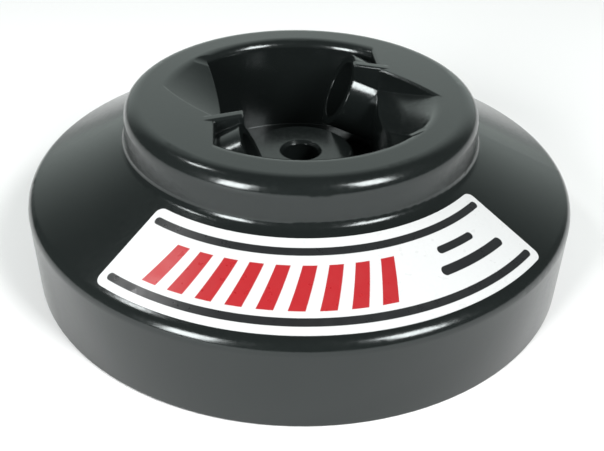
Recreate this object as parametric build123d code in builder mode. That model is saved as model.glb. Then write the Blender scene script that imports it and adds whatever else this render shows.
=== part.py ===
from build123d import *

import os
from math import atan2, cos, degrees, radians, sin, sqrt, tan

# Fixed-angle centrifuge rotor for two round-bottomed tubes, in millimetres.
#
# The origin is the centre of the base and +Z is the spin axis. The moulded rotor shell is a skirt, a
# cone and a collar. The well in the collar is crossed by two inclined tubes, each one passing the
# spin axis on its own side and ending in a pocket under the cone. Apart from the label and the hub's
# three screws, everything repeats after half a turn, so that the rotor balances.

os.makedirs("parts", exist_ok=True)

# ---- Outside of the rotor shell ------------------------------------------------------------------
rotor_radius = 75.0
rotor_height = 48.0
skirt_height = 24.0
cone_top_height = 37.4
collar_radius = 47.2
collar_flare = 0.9  # the collar is this much wider at its foot
skirt_round = 3.6
collar_round = 4.3
foot_round = 2.2
base_chamfer = 0.5
shell_wall = 3.2
skirt_wall = 4.2

# ---- Opening in the collar, measured along the tubes' course and across it -------------------------
rim_radius = 37.9  # inner edge of the flat top face
rim_round = 4.0
well_radius = 35.0
well_floor_height = 20.0
scoop_angle = 32.0  # fall of the finger scoops towards the spin axis
scoop_drop = 21.9  # how far along the middle of the scoop's inner edge is from the spin axis
scoop_drop_across = 2.2
scoop_drop_bow = 3.7  # how far the scoop's inner edge bows out at the rim
land_edge = 23.2  # how far along a land's straight edge is from the spin axis
land_corner = 13.0  # how far across a land's corner and the fin's inner face are
land_bow_along = 30.3  # the land's curved edge passes here
land_bow_across = 4.5
land_tip_along = 38.2  # and runs out into the rim here
land_tip_across = 8.7
land_chamfer = 0.6
well_edge_round = 2.4

# ---- Tubes and their pockets ---------------------------------------------------------------------
tube_diameter = 16.0
tube_clearance = 0.5
tube_tilt = 24.0  # degrees from level
tube_yaw = 5.5  # degrees from X, in plan
tube_offset = 21.2  # how far a tube's axis passes from the spin axis, in plan
pocket_margin = 15.0  # the pocket ends this far short of the skirt, along the tube's course in plan
pocket_end_height = 17.3
pocket_length = 51.5
pocket_wall = 2.4
fin_thickness = 3.2
fin_length = 7.3
fin_root = 3.0  # the fin starts this far back, inside the land
fin_round = 0.8
fin_rise = 1.6  # how far the fin's free end stands above the lands
cushion_seat_radius = 7.5  # the pocket narrows to this where the cushion sits
cushion_thickness = 2.0
cushion_cup_depth = 3.5
cushion_cup_floor_radius = 3.0
cushion_cup_top_radius = 6.5
cushion_clearance = 0.2

# ---- Hub, base cover and screws ------------------------------------------------------------------
boss_radius = 15.0
boss_height = 30.0
boss_neck_radius = 5.0  # the boss's bore above the hub
boss_chamfer = 0.9
hub_radius = 7.5
spindle_diameter = 8.0
spindle_clearance = 0.05
hub_top_height = 14.0
flange_radius = 15.0
flange_thickness = 2.5
drive_slot_width = 3.2
drive_slot_depth = 1.6
hub_clearance = 0.05
cover_recess = 0.6
cover_thickness = 2.5
cover_clearance = 0.3
cover_hole_radius = 8.5
cover_step = 0.8  # width of the step in the skirt that the cover rests on
cover_screw_count = 4
cover_screw_circle_radius = 62.0
hub_screw_count = 3
hub_screw_circle_radius = 12.0
screw_radius = 1.5
screw_head_radius = 2.9
screw_head_angle = 82.0
screw_clearance = 0.15
cover_screw_length = 9.0
hub_screw_length = 12.0
screw_boss_wall = 2.4
cross_recess_width = 0.7
cross_recess_length = 3.2
cross_recess_depth = 1.0

# ---- Label on the cone ---------------------------------------------------------------------------
label_thickness = 0.25
label_collar_distance = 2.9  # from the collar's foot to the label's inner edge
label_skirt_distance = 2.8  # from the skirt's face to the label's outer edge
label_middle_angle = -82.8
label_span = 94.6
label_corner_round = 2.0

# ---- Worked out from the sizes above -------------------------------------------------------------
tilt = radians(tube_tilt)
yaw = radians(tube_yaw)
pocket_radius = tube_diameter / 2 + tube_clearance
barrel_radius = pocket_radius + pocket_wall
pocket_reach = rotor_radius - pocket_margin
cushion_length = cushion_thickness + cushion_cup_depth
well_wall_radius = well_radius + shell_wall
cover_top = cover_recess + cover_thickness
flange_top = cover_top + flange_thickness
cover_radius = rotor_radius - skirt_wall + cover_step
cone_run = rotor_radius - collar_radius
cone_slope = (cone_top_height - skirt_height) / cone_run
skin_drop = shell_wall * sqrt(1 + cone_slope**2)
above = rotor_height + 20.0  # a height clear of the whole rotor, for cutters
half_turns = (0, 180)
along_tube = Vector(cos(yaw), sin(yaw), 0)
towards_axis = Vector(-sin(yaw), cos(yaw), 0)  # from the front tube's axis, in plan
pocket_foot = towards_axis * -tube_offset - along_tube * pocket_reach
fin_plane = Plane(
    origin=towards_axis * -land_corner - along_tube * pocket_reach,
    x_dir=along_tube,
    z_dir=towards_axis * -1,
)


def cone_height(radius):
    """Height of the cone's outer surface at a radius."""
    return skirt_height + (rotor_radius - radius) * cone_slope


def tube_plane(turn, along=0.0):
    """Plane square to a tube, its origin on the tube's axis and its X towards the spin axis."""
    up = along_tube * cos(tilt) + Vector(0, 0, sin(tilt))
    centre = pocket_foot + Vector(0, 0, pocket_end_height) + up * along
    return Plane(
        origin=centre.rotate(Axis.Z, turn),
        x_dir=towards_axis.rotate(Axis.Z, turn),
        z_dir=up.rotate(Axis.Z, turn),
    )


def radial_plane(angle):
    """Upright plane through the spin axis: X runs outward at an angle from the X axis, Y is up."""
    return Plane(
        origin=(0, 0, 0),
        x_dir=(cos(radians(angle)), sin(radians(angle)), 0),
        z_dir=(sin(radians(angle)), -cos(radians(angle)), 0),
    )


def in_plan(along, across, turn=0):
    """A point of the top view, measured along and across the tubes' course."""
    return Vector(along, across, 0).rotate(Axis.Z, tube_yaw + turn)


# ---- Land: it stands in the opening, with a straight edge and a curved one -------------------------
with BuildPart() as land:
    with BuildSketch(Plane.XY):
        with BuildLine():
            land_curve = Spline(
                in_plan(-land_edge, -land_corner),
                in_plan(-land_bow_along, -land_bow_across),
                in_plan(-land_tip_along, land_tip_across),
            )
            Polyline(
                land_curve @ 1,
                in_plan(-rotor_radius, land_tip_across),
                in_plan(-rotor_radius, -rotor_radius),
                in_plan(-land_edge, -rotor_radius),
                land_curve @ 0,
            )
        make_face()
    extrude(amount=rotor_height)
    land_corner_top = in_plan(-land_edge, -land_corner) + Vector(0, 0, rotor_height)
    land_edges = land.faces().sort_by(Axis.Z)[-1].edges().sort_by_distance(land_corner_top)
    chamfer(land_edges[:2], land_chamfer)

# ---- Opening: the well, the dished rim and the scoops, less the two lands --------------------------
far_edge_across = sqrt(well_radius**2 - land_edge**2)
drop_end_along = scoop_drop + scoop_drop_bow
drop_end_across = sqrt(well_radius**2 - drop_end_along**2)
scoop_fall = tan(radians(scoop_angle))
rim_tangent = rim_round * tan(radians(scoop_angle) / 2)
ramp_top_radius = rim_radius - rim_tangent
well_edge_height = rotor_height - (ramp_top_radius - well_radius) * scoop_fall
edge_tangent = well_edge_round * tan(radians(90 - scoop_angle) / 2)
well_edge_start = tube_yaw + degrees(atan2(far_edge_across, land_edge))
well_edge_span = tube_yaw + degrees(atan2(drop_end_across, -drop_end_along)) - well_edge_start

with BuildPart() as opening:
    with BuildSketch(Plane.XY.offset(well_floor_height)):
        with BuildLine():
            for turn in half_turns:
                corner = in_plan(-land_edge, -land_corner, turn)
                drop_middle = in_plan(-scoop_drop, scoop_drop_across, turn)
                drop_end = in_plan(-drop_end_along, drop_end_across, turn)
                far_rim = in_plan(0, well_radius, turn)
                far_edge = in_plan(land_edge, far_edge_across, turn)
                far_corner = in_plan(land_edge, land_corner, turn)
                ThreePointArc(corner, drop_middle, drop_end)
                ThreePointArc(drop_end, far_rim, far_edge)
                Line(far_edge, far_corner)
        make_face()
    extrude(amount=above - well_floor_height)
    with BuildSketch(Plane.XZ):
        with BuildLine():
            ramp = Line(
                (0, rotor_height - ramp_top_radius * scoop_fall),
                (
                    ramp_top_radius - rim_tangent * cos(radians(scoop_angle)),
                    rotor_height - rim_tangent * sin(radians(scoop_angle)),
                ),
            )
            rim = TangentArc(ramp @ 1, (rim_radius, rotor_height), tangent=ramp % 1)
            Polyline(rim @ 1, (rim_radius, above), (0, above), ramp @ 0)
        make_face()
    revolve(axis=Axis.Z)
    for turn in half_turns:
        with BuildSketch(radial_plane(well_edge_start + turn)):
            with BuildLine():
                edge_arc = TangentArc(
                    (
                        well_radius + edge_tangent * cos(radians(scoop_angle)),
                        well_edge_height + edge_tangent * sin(radians(scoop_angle)),
                    ),
                    (well_radius, well_edge_height - edge_tangent),
                    tangent=(-cos(radians(scoop_angle)), -sin(radians(scoop_angle))),
                )
                Polyline(edge_arc @ 1, (well_radius, rotor_height), edge_arc @ 0)
            make_face()
        revolve(axis=Axis.Z, revolution_arc=well_edge_span)
    for turn in half_turns:
        add(land.part.rotate(Axis.Z, turn), mode=Mode.SUBTRACT)

# ---- Hollow under the shell, less the barrels and screw bosses -----------------------------------
with BuildPart() as underside:
    with BuildSketch(Plane.XZ):
        with BuildLine():
            hollow_floor = well_floor_height - shell_wall
            skirt_inner = rotor_radius - skirt_wall
            Polyline(
                (boss_radius, -1.0),
                (boss_radius, hollow_floor),
                (well_wall_radius, hollow_floor),
                (well_wall_radius, cone_height(collar_radius) - skin_drop),
                (collar_radius, cone_height(collar_radius) - skin_drop),
                (skirt_inner, cone_height(skirt_inner) - skin_drop),
                (skirt_inner, -1.0),
                close=True,
            )
        make_face()
    revolve(axis=Axis.Z)
    for turn in half_turns:
        with BuildSketch(tube_plane(turn, -pocket_wall)):
            Circle(barrel_radius)
        extrude(amount=pocket_length + pocket_wall, mode=Mode.SUBTRACT)
    with BuildSketch(Plane.XY.offset(cover_top)):
        with PolarLocations(cover_screw_circle_radius, cover_screw_count):
            Circle(screw_radius + screw_boss_wall)
    extrude(amount=rotor_height, mode=Mode.SUBTRACT)

# ---- Fin: it stands on the barrel and grows out of the land's corner --------------------------------
with BuildPart() as fin:
    with BuildSketch(fin_plane):
        with BuildLine():
            root_run = pocket_reach - land_edge - fin_root
            tip_run = root_run + fin_root + fin_length
            Polyline(
                (root_run, pocket_end_height + root_run * tan(tilt)),
                (tip_run, pocket_end_height + tip_run * tan(tilt)),
                (tip_run, rotor_height + fin_rise),
                (root_run, rotor_height),
                close=True,
            )
        make_face()
    extrude(amount=fin_thickness)
    fin_top = fin.faces().sort_by(Axis.Z)[-1]
    fillet(fin_top.edges().sort_by(Axis.Z)[1:], fin_round)

# ---- Boss: it stands in the middle of the well, over the hub ---------------------------------------
with BuildPart() as boss:
    with BuildSketch(Plane.XY.offset(well_floor_height - shell_wall)):
        Circle(boss_radius)
        Circle(boss_neck_radius, mode=Mode.SUBTRACT)
    extrude(amount=boss_height - well_floor_height + shell_wall)
    chamfer(boss.edges().group_by(Axis.Z)[-1], boss_chamfer)

# ---- Rotor shell ---------------------------------------------------------------------------------
collar_foot = (collar_radius + collar_flare, cone_height(collar_radius + collar_flare))

with BuildPart() as rotor_shell:
    with BuildSketch(Plane.XZ) as outline:
        with BuildLine():
            Polyline(
                (0, 0),
                (rotor_radius, 0),
                (rotor_radius, skirt_height),
                collar_foot,
                (collar_radius, rotor_height),
                (0, rotor_height),
                close=True,
            )
        make_face()
        fillet(outline.vertices().group_by(Axis.X)[-1].sort_by(Axis.Y)[-1], skirt_round)
        chamfer(outline.vertices().group_by(Axis.X)[-1].sort_by(Axis.Y)[0], base_chamfer)
        fillet(outline.vertices().sort_by_distance(collar_foot)[0], foot_round)
        fillet(outline.vertices().group_by(Axis.Y)[-1].sort_by(Axis.X)[-1], collar_round)
    revolve(axis=Axis.Z)
    add(opening.part, mode=Mode.SUBTRACT)
    add(underside.part, mode=Mode.SUBTRACT)
    for turn in half_turns:
        with BuildSketch(tube_plane(turn)):
            Circle(barrel_radius)
        extrude(amount=pocket_length)
        add(fin.part.rotate(Axis.Z, turn))
    add(boss.part)
    for turn in half_turns:
        with BuildSketch(tube_plane(turn)):
            Circle(cushion_seat_radius)
        extrude(amount=cushion_length, mode=Mode.SUBTRACT)
        with BuildSketch(tube_plane(turn, cushion_length)):
            Circle(pocket_radius)
        extrude(amount=2 * rotor_radius, mode=Mode.SUBTRACT)
    with BuildSketch(Plane.XY):
        Circle(cover_radius)
    extrude(amount=cover_top, mode=Mode.SUBTRACT)
    with BuildSketch(Plane.XY):
        Circle(flange_radius + cover_clearance)
    extrude(amount=flange_top, mode=Mode.SUBTRACT)
    with BuildSketch(Plane.XY):
        Circle(hub_radius)
    extrude(amount=hub_top_height + hub_clearance, mode=Mode.SUBTRACT)
    with BuildSketch(Plane.XY):
        Circle(boss_neck_radius)
    extrude(amount=above, mode=Mode.SUBTRACT)
    with BuildSketch(Plane.XY):
        with PolarLocations(cover_screw_circle_radius, cover_screw_count):
            Circle(screw_radius + screw_clearance)
    extrude(amount=cover_recess + cover_screw_length + screw_clearance, mode=Mode.SUBTRACT)
    with BuildSketch(Plane.XY):
        with PolarLocations(hub_screw_circle_radius, hub_screw_count):
            Circle(screw_radius + screw_clearance)
    extrude(amount=cover_recess + hub_screw_length + screw_clearance, mode=Mode.SUBTRACT)

# ---- Drive hub: a flanged metal bush with a slot for the spindle's cross pin ---------------------
with BuildPart() as drive_hub:
    with BuildSketch(Plane.XY.offset(cover_top)):
        Circle(flange_radius)
    extrude(amount=flange_thickness)
    with BuildSketch(Plane.XY.offset(flange_top)):
        Circle(hub_radius - hub_clearance)
    extrude(amount=hub_top_height - flange_top)
    with BuildSketch(Plane.XY):
        Circle(spindle_diameter / 2 + spindle_clearance)
    extrude(amount=hub_top_height, mode=Mode.SUBTRACT)
    with BuildSketch(Plane.XY):
        with PolarLocations(hub_screw_circle_radius, hub_screw_count):
            Circle(screw_radius + screw_clearance)
    extrude(amount=flange_top, mode=Mode.SUBTRACT)
    with BuildSketch(Plane.XY.offset(cover_top)):
        Rectangle(2 * cover_hole_radius, drive_slot_width)
    extrude(amount=drive_slot_depth, mode=Mode.SUBTRACT)

# ---- Base cover: a disc in the step of the skirt -------------------------------------------------
underneath = Plane(origin=(0, 0, cover_recess), x_dir=(1, 0, 0), z_dir=(0, 0, -1))

with BuildPart(underneath) as base_cover:
    with BuildSketch(underneath):
        Circle(cover_radius - cover_clearance)
        Circle(cover_hole_radius, mode=Mode.SUBTRACT)
    extrude(amount=-cover_thickness)
    for circle, count in (
        (cover_screw_circle_radius, cover_screw_count),
        (hub_screw_circle_radius, hub_screw_count),
    ):
        with PolarLocations(circle, count):
            CounterSinkHole(
                radius=screw_radius + screw_clearance,
                counter_sink_radius=screw_head_radius + screw_clearance,
                depth=cover_thickness,
                counter_sink_angle=screw_head_angle,
            )


def screw(length):
    """Countersunk screw with a cross recess, its head flush with the cover's underside."""
    head_depth = (screw_head_radius - screw_radius) / tan(radians(screw_head_angle / 2))
    Cylinder(screw_radius, length, align=(Align.CENTER, Align.CENTER, Align.MAX))
    Cone(screw_radius, screw_head_radius, head_depth, align=(Align.CENTER, Align.CENTER, Align.MAX))
    for spin in (0, 90):
        Box(
            cross_recess_length,
            cross_recess_width,
            2 * cross_recess_depth,
            rotation=(0, 0, spin),
            mode=Mode.SUBTRACT,
        )


with BuildPart(underneath) as cover_screws:
    with PolarLocations(cover_screw_circle_radius, cover_screw_count):
        screw(cover_screw_length)

with BuildPart(underneath) as hub_screws:
    with PolarLocations(hub_screw_circle_radius, hub_screw_count):
        screw(hub_screw_length)

# ---- Cushions: rubber cups at the pockets' ends --------------------------------------------------
cushions = {}
for name, turn in (("front_tube_cushion", 0), ("rear_tube_cushion", 180)):
    with BuildPart() as cushion:
        with BuildSketch(tube_plane(turn)):
            Circle(cushion_seat_radius - cushion_clearance)
        extrude(amount=cushion_length)
        with Locations(tube_plane(turn, cushion_thickness)):
            Cone(
                cushion_cup_floor_radius,
                cushion_cup_top_radius,
                cushion_cup_depth,
                align=(Align.CENTER, Align.CENTER, Align.MIN),
                mode=Mode.SUBTRACT,
            )
    cushions[name] = cushion

# ---- Label: a film wrapped on the front of the cone ----------------------------------------------
label_inner_radius = collar_radius + collar_flare + label_collar_distance
label_outer_radius = rotor_radius - label_skirt_distance
steepness = sqrt(1 + cone_slope**2)
film_out = label_thickness * cone_slope / steepness
film_up = label_thickness / steepness

with BuildPart() as label:
    with BuildSketch(radial_plane(label_middle_angle - label_span / 2)):
        with BuildLine():
            Polyline(
                (label_inner_radius, cone_height(label_inner_radius)),
                (label_outer_radius, cone_height(label_outer_radius)),
                (label_outer_radius + film_out, cone_height(label_outer_radius) + film_up),
                (label_inner_radius + film_out, cone_height(label_inner_radius) + film_up),
                close=True,
            )
        make_face()
    revolve(axis=Axis.Z, revolution_arc=label_span)
    corners = label.edges().filter_by(lambda edge: edge.length < 2 * label_thickness)
    fillet(corners, label_corner_round)

# ---- Write the pieces ----------------------------------------------------------------------------
rotor_shell.part.label = "rotor_shell"
export_step(rotor_shell.part, "parts/rotor_shell.step")
drive_hub.part.label = "drive_hub"
export_step(drive_hub.part, "parts/drive_hub.step")
base_cover.part.label = "base_cover"
export_step(base_cover.part, "parts/base_cover.step")
cover_screws.part.label = "cover_screws"
export_step(cover_screws.part, "parts/cover_screws.step")
hub_screws.part.label = "hub_screws"
export_step(hub_screws.part, "parts/hub_screws.step")
for name, cushion in cushions.items():
    cushion.part.label = name
    export_step(cushion.part, f"parts/{name}.step")
label.part.label = "label"
export_step(label.part, "parts/label.step")
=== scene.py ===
"""Looks of the fixed-angle rotor: glossy black moulding, printed label, studio floor and light."""

from math import cos, pi, radians, sin

import bpy
from mathutils import Matrix, Vector

MM = 0.001
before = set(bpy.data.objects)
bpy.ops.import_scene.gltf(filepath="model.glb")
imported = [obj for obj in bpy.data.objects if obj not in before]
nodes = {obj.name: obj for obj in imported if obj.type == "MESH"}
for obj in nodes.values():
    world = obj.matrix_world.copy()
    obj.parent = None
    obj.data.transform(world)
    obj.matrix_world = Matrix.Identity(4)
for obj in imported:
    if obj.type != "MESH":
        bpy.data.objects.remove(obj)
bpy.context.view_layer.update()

# ---- Camera --------------------------------------------------------------------------------------
CAMERA_PLACE = Vector((0.00080, -0.20368, 0.14437))  # metres
CAMERA_DOWN = radians(34.54)
CAMERA_ROLL = radians(1.15)
CAMERA_LENS = 49.34  # mm
SENSOR_WIDTH = 36.0  # mm
NEAREST_SEEN = 0.01


def make_camera():
    """The camera looks along +Y and down, with a slight roll."""
    level_right = Vector((1, 0, 0))
    level_up = Vector((0, sin(CAMERA_DOWN), cos(CAMERA_DOWN)))
    right = cos(CAMERA_ROLL) * level_right + sin(CAMERA_ROLL) * level_up
    up = cos(CAMERA_ROLL) * level_up - sin(CAMERA_ROLL) * level_right
    back = right.cross(up)
    data = bpy.data.cameras.new("camera")
    data.lens = CAMERA_LENS
    data.sensor_width = SENSOR_WIDTH
    data.clip_start = NEAREST_SEEN
    camera = bpy.data.objects.new("camera", data)
    bpy.context.scene.collection.objects.link(camera)
    turn = Matrix((right, up, back)).transposed().to_4x4()
    camera.matrix_world = Matrix.Translation(CAMERA_PLACE) @ turn
    bpy.context.scene.camera = camera


# ---- Studio --------------------------------------------------------------------------------------
FLOOR_SIZE = 6.0
FLOOR_COLOR = (0.97, 0.97, 0.97)
FLOOR_ROUGHNESS = 0.9
BACKDROP_RISE = radians(12)  # the backdrop's brightest part is this far above the horizon
BACKDROP_CORE = radians(18)  # it is evenly bright up to this far from there
BACKDROP_EDGE = radians(59)  # and fades into the room here
BACKDROP_LIGHT = 0.95
ROOM_LIGHT = 0.145
ROOM_COLOR = (0.90, 1.0, 0.96)  # a faint green cast
LIGHT_DISTANCE = 0.9
LIGHT_TARGET = Vector((0, 0, 0.03))
SOFTBOXES = (  # name, azimuth and elevation in degrees, width and height in metres, watts
    ("left_softbox", -39, 21, 0.27, 0.40, 9),
    ("right_softbox", 48, 39, 0.28, 0.36, 8),
    ("high_softbox", -96, 54, 0.10, 0.13, 1.0),
)


def tree_of(name):
    """A new material with its node tree and its shader."""
    material = bpy.data.materials.new(name)
    material.use_nodes = True
    tree = material.node_tree
    return material, tree, tree.nodes["Principled BSDF"]


def make_floor():
    material, tree, shader = tree_of("floor_paint")
    shader.inputs["Base Color"].default_value = (*FLOOR_COLOR, 1)
    shader.inputs["Roughness"].default_value = FLOOR_ROUGHNESS
    mesh = bpy.data.meshes.new("floor")
    half = FLOOR_SIZE / 2
    corners = [(-half, -half, 0), (half, -half, 0), (half, half, 0), (-half, half, 0)]
    mesh.from_pydata(corners, [], [(0, 1, 2, 3)])
    mesh.materials.append(material)
    floor = bpy.data.objects.new("floor", mesh)
    bpy.context.scene.collection.objects.link(floor)


def make_softbox(name, azimuth, elevation, width, height, power):
    """A rectangular light that faces the rotor, with azimuth 0 in front and + to the right."""
    data = bpy.data.lights.new(name, "AREA")
    data.shape = "RECTANGLE"
    data.size = width
    data.size_y = height
    data.energy = power
    light = bpy.data.objects.new(name, data)
    bpy.context.scene.collection.objects.link(light)
    across = radians(azimuth)
    rise = radians(elevation)
    out = Vector((sin(across) * cos(rise), -cos(across) * cos(rise), sin(rise)))
    turn = out.to_track_quat("Z", "Y").to_matrix().to_4x4()
    light.matrix_world = Matrix.Translation(out * LIGHT_DISTANCE + LIGHT_TARGET) @ turn


def make_world():
    """A white backdrop behind the rotor in a dim room."""
    world = bpy.data.worlds.new("studio")
    bpy.context.scene.world = world
    world.use_nodes = True
    tree = world.node_tree
    coordinates = tree.nodes.new("ShaderNodeTexCoord")
    facing = tree.nodes.new("ShaderNodeVectorMath")
    facing.operation = "DOT_PRODUCT"
    facing.inputs[1].default_value = (0, cos(BACKDROP_RISE), sin(BACKDROP_RISE))
    tree.links.new(coordinates.outputs["Generated"], facing.inputs[0])
    glow = tree.nodes.new("ShaderNodeMapRange")
    glow.interpolation_type = "SMOOTHSTEP"
    glow.inputs["From Min"].default_value = cos(BACKDROP_EDGE)
    glow.inputs["From Max"].default_value = cos(BACKDROP_CORE)
    glow.inputs["To Min"].default_value = ROOM_LIGHT
    glow.inputs["To Max"].default_value = BACKDROP_LIGHT
    tree.links.new(facing.outputs["Value"], glow.inputs["Value"])
    background = tree.nodes["Background"]
    background.inputs["Color"].default_value = (*ROOM_COLOR, 1)
    tree.links.new(glow.outputs["Result"], background.inputs["Strength"])


make_camera()
make_floor()
make_world()
for softbox in SOFTBOXES:
    make_softbox(*softbox)
bpy.context.scene.view_settings.view_transform = "Standard"


# ---- Materials -----------------------------------------------------------------------------------
# The label's print is set out in millimetres from the spin axis and in degrees about it.
LABEL_MIDDLE_RADIUS = 62.0
DARK_STROKES = (  # radius, width and the angles of the two ends
    (54.2, 1.8, (-128.5, -37.0)),
    (69.6, 1.8, (-128.5, -37.0)),
    (59.1, 1.8, (-57.0, -46.0)),
    (63.7, 2.2, (-59.0, -40.5)),
)
STRIPE_RADII = (57.3, 67.3)
STRIPE_ENDS = (-120.0, -69.0)
STRIPE_PITCH = 5.96
STRIPE_SHARE = 0.56  # of the pitch
STRIPE_LEAN = 0.28  # degrees for each millimetre towards the collar
PRINT_BLUR = 0.06  # to each side of a printed edge
STRIPE_BLUR = 0.015  # the same as a share of the pitch
COMMON_NOISE = (0.3, 0.7)  # noise mostly lies between these


def feed(tree, socket, value):
    """Put a number, a colour or another node's output into a socket."""
    if isinstance(value, bpy.types.NodeSocket):
        tree.links.new(value, socket)
    else:
        socket.default_value = value


def maths(tree, operation, first, second=0.0):
    node = tree.nodes.new("ShaderNodeMath")
    node.operation = operation
    feed(tree, node.inputs[0], first)
    feed(tree, node.inputs[1], second)
    return node.outputs[0]


def hypotenuse(tree, first, second):
    squares = [maths(tree, "MULTIPLY", side, side) for side in (first, second)]
    return maths(tree, "SQRT", maths(tree, "ADD", *squares))


def spread(tree, value, old, new):
    """Carry a value from one range to another, and hold it at the ends."""
    node = tree.nodes.new("ShaderNodeMapRange")
    tree.links.new(value, node.inputs["Value"])
    for socket, end in zip(("From Min", "From Max", "To Min", "To Max"), (*old, *new)):
        node.inputs[socket].default_value = end
    return node.outputs["Result"]


def place(tree):
    """The point's place on the object, in metres."""
    return tree.nodes.new("ShaderNodeTexCoord").outputs["Object"]


def noise(tree, scale, detail=2.0, stretch=None):
    """Clouds from 0 to 1, with so many to the metre, finer along the axes that stretch names."""
    node = tree.nodes.new("ShaderNodeTexNoise")
    node.inputs["Scale"].default_value = scale
    node.inputs["Detail"].default_value = detail
    where = place(tree)
    if stretch:
        mapping = tree.nodes.new("ShaderNodeMapping")
        mapping.inputs["Scale"].default_value = stretch
        tree.links.new(where, mapping.inputs["Vector"])
        where = mapping.outputs["Vector"]
    tree.links.new(where, node.inputs["Vector"])
    return node.outputs["Fac"]


def mixed(tree, share, first, second):
    """Blend from the first colour to the second."""
    node = tree.nodes.new("ShaderNodeMix")
    node.data_type = "RGBA"
    tree.links.new(share, node.inputs["Factor"])
    feed(tree, node.inputs["A"], first)
    feed(tree, node.inputs["B"], second)
    return node.outputs["Result"]


def coat(tree, shader, color, grain, roughness):
    """Give the shader its colour, and a roughness that follows a noise."""
    tree.links.new(color, shader.inputs["Base Color"])
    tree.links.new(spread(tree, grain, COMMON_NOISE, roughness), shader.inputs["Roughness"])


def bump(tree, shader, height, distance, edge=None):
    """Raise the surface by a noise, by so many metres, and round its sharp edges by edge metres."""
    node = tree.nodes.new("ShaderNodeBump")
    node.inputs["Strength"].default_value = 1.0
    node.inputs["Distance"].default_value = distance
    tree.links.new(height, node.inputs["Height"])
    if edge:
        soft = tree.nodes.new("ShaderNodeBevel")
        soft.samples = 6
        soft.inputs["Radius"].default_value = edge
        tree.links.new(soft.outputs["Normal"], node.inputs["Normal"])
    tree.links.new(node.outputs["Normal"], shader.inputs["Normal"])


def within(tree, distance, reach, blur):
    """1 where the distance is less than the reach, and 0 past it."""
    return spread(tree, distance, (reach - blur, reach + blur), (1.0, 0.0))


def inside(tree, value, ends, blur):
    """1 between two ends, and 0 outside them."""
    away = maths(tree, "ABSOLUTE", maths(tree, "SUBTRACT", value, (ends[0] + ends[1]) / 2))
    return within(tree, away, (ends[1] - ends[0]) / 2, blur)


def round_place(tree):
    """Radius in millimetres and angle in degrees about the spin axis."""
    split = tree.nodes.new("ShaderNodeSeparateXYZ")
    tree.links.new(place(tree), split.inputs["Vector"])
    across = split.outputs["X"]
    back = split.outputs["Y"]
    radius = maths(tree, "DIVIDE", hypotenuse(tree, across, back), MM)
    angle = maths(tree, "MULTIPLY", maths(tree, "ARCTAN2", back, across), 180 / pi)
    return radius, angle


def stroke(tree, radius, angle, middle, width, ends):
    """1 on a line about the spin axis, with round ends, and 0 beside it."""
    centre = (ends[0] + ends[1]) / 2
    reach = middle * radians(ends[1] - ends[0]) / 2 - width / 2
    turned = maths(tree, "ABSOLUTE", maths(tree, "SUBTRACT", angle, centre))
    along = maths(tree, "MULTIPLY", turned, middle * pi / 180)
    past_end = maths(tree, "MAXIMUM", maths(tree, "SUBTRACT", along, reach))
    aside = maths(tree, "SUBTRACT", radius, middle)
    return within(tree, hypotenuse(tree, past_end, aside), width / 2, PRINT_BLUR)


def stripes(tree, radius, angle):
    """1 on the leaning stripes, and 0 between them."""
    from_middle = maths(tree, "SUBTRACT", radius, LABEL_MIDDLE_RADIUS)
    upright = maths(tree, "ADD", angle, maths(tree, "MULTIPLY", from_middle, STRIPE_LEAN))
    turned = maths(tree, "SUBTRACT", upright, STRIPE_ENDS[0])
    step = maths(tree, "FRACT", maths(tree, "DIVIDE", turned, STRIPE_PITCH))
    stripe = inside(tree, step, (0.0, STRIPE_SHARE), STRIPE_BLUR)
    row = inside(tree, upright, STRIPE_ENDS, PRINT_BLUR)
    height = inside(tree, radius, STRIPE_RADII, PRINT_BLUR)
    return maths(tree, "MULTIPLY", maths(tree, "MULTIPLY", stripe, row), height)


def black_moulding():
    """Glossy black with a faint green cast, a fine orange-peel skin and slightly softened edges."""
    material, tree, shader = tree_of("black_moulding")
    shader.inputs["IOR"].default_value = 1.5
    shader.inputs["Specular Tint"].default_value = (0.94, 1.0, 1.0, 1)
    cloud = noise(tree, 60)
    color = mixed(tree, cloud, (0.0055, 0.0072, 0.0070, 1), (0.0085, 0.0105, 0.0102, 1))
    coat(tree, shader, color, noise(tree, 900, 3), (0.13, 0.21))
    bump(tree, shader, noise(tree, 650), 0.000012, edge=0.0006)
    return material


def label_film():
    """White film with four dark lines and a row of leaning red stripes."""
    material, tree, shader = tree_of("label_film")
    radius, angle = round_place(tree)
    dark = 0.0
    for middle, width, ends in DARK_STROKES:
        dark = maths(tree, "MAXIMUM", stroke(tree, radius, angle, middle, width, ends), dark)
    fibre = noise(tree, 1500)
    white = mixed(tree, fibre, (0.56, 0.57, 0.57, 1), (0.60, 0.61, 0.61, 1))
    color = mixed(tree, stripes(tree, radius, angle), white, (0.35, 0.016, 0.020, 1))
    color = mixed(tree, dark, color, (0.012, 0.013, 0.014, 1))
    coat(tree, shader, color, noise(tree, 400), (0.26, 0.36))
    bump(tree, shader, fibre, 0.000002)
    return material


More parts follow.
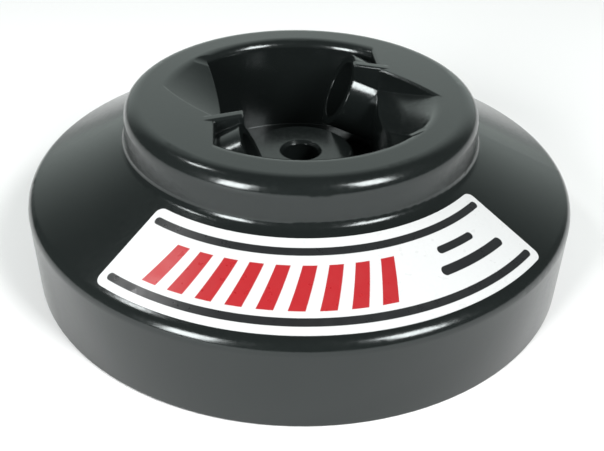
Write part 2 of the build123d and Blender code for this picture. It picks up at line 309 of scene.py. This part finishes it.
def cover_sheet():
    """Matt black sheet with a fine moulded grain."""
    material, tree, shader = tree_of("cover_sheet")
    cloud = noise(tree, 35, 3)
    color = mixed(tree, cloud, (0.014, 0.0145, 0.015, 1), (0.024, 0.0245, 0.025, 1))
    grain = noise(tree, 1800, 3)
    coat(tree, shader, color, grain, (0.42, 0.60))
    bump(tree, shader, grain, 0.00003, edge=0.0003)
    return material


def turned_metal():
    """Aluminium with fine turning rings about the spin axis."""
    material, tree, shader = tree_of("turned_metal")
    shader.inputs["Metallic"].default_value = 1.0
    ring = tree.nodes.new("ShaderNodeTexNoise")
    ring.noise_dimensions = "1D"
    ring.inputs["Scale"].default_value = 9.0
    ring.inputs["Detail"].default_value = 3.0
    tree.links.new(round_place(tree)[0], ring.inputs["W"])
    rings = ring.outputs["Fac"]
    color = mixed(tree, rings, (0.60, 0.60, 0.61, 1), (0.74, 0.74, 0.75, 1))
    coat(tree, shader, color, rings, (0.22, 0.36))
    bump(tree, shader, rings, 0.00001, edge=0.0002)
    return material


def screw_steel():
    """Plain steel with faint scratches."""
    material, tree, shader = tree_of("screw_steel")
    shader.inputs["Metallic"].default_value = 1.0
    scratch = noise(tree, 500, 4, (1.0, 9.0, 1.0))
    color = mixed(tree, scratch, (0.42, 0.42, 0.43, 1), (0.58, 0.58, 0.59, 1))
    coat(tree, shader, color, scratch, (0.24, 0.42))
    bump(tree, shader, scratch, 0.000006, edge=0.00012)
    return material


def cushion_rubber():
    """Matt black rubber with a dusty, pitted skin."""
    material, tree, shader = tree_of("cushion_rubber")
    dust = noise(tree, 220, 4)
    color = mixed(tree, dust, (0.018, 0.018, 0.019, 1), (0.034, 0.034, 0.035, 1))
    coat(tree, shader, color, dust, (0.70, 0.88))
    bump(tree, shader, noise(tree, 2500, 3), 0.00002, edge=0.0003)
    return material


steel = screw_steel()
rubber = cushion_rubber()
materials = {
    "rotor_shell": black_moulding(),
    "base_cover": cover_sheet(),
    "drive_hub": turned_metal(),
    "cover_screws": steel,
    "hub_screws": steel,
    "front_tube_cushion": rubber,
    "rear_tube_cushion": rubber,
    "label": label_film(),
}
for name, material in materials.items():
    slots = nodes[name].data.materials
    slots.clear()
    slots.append(material)
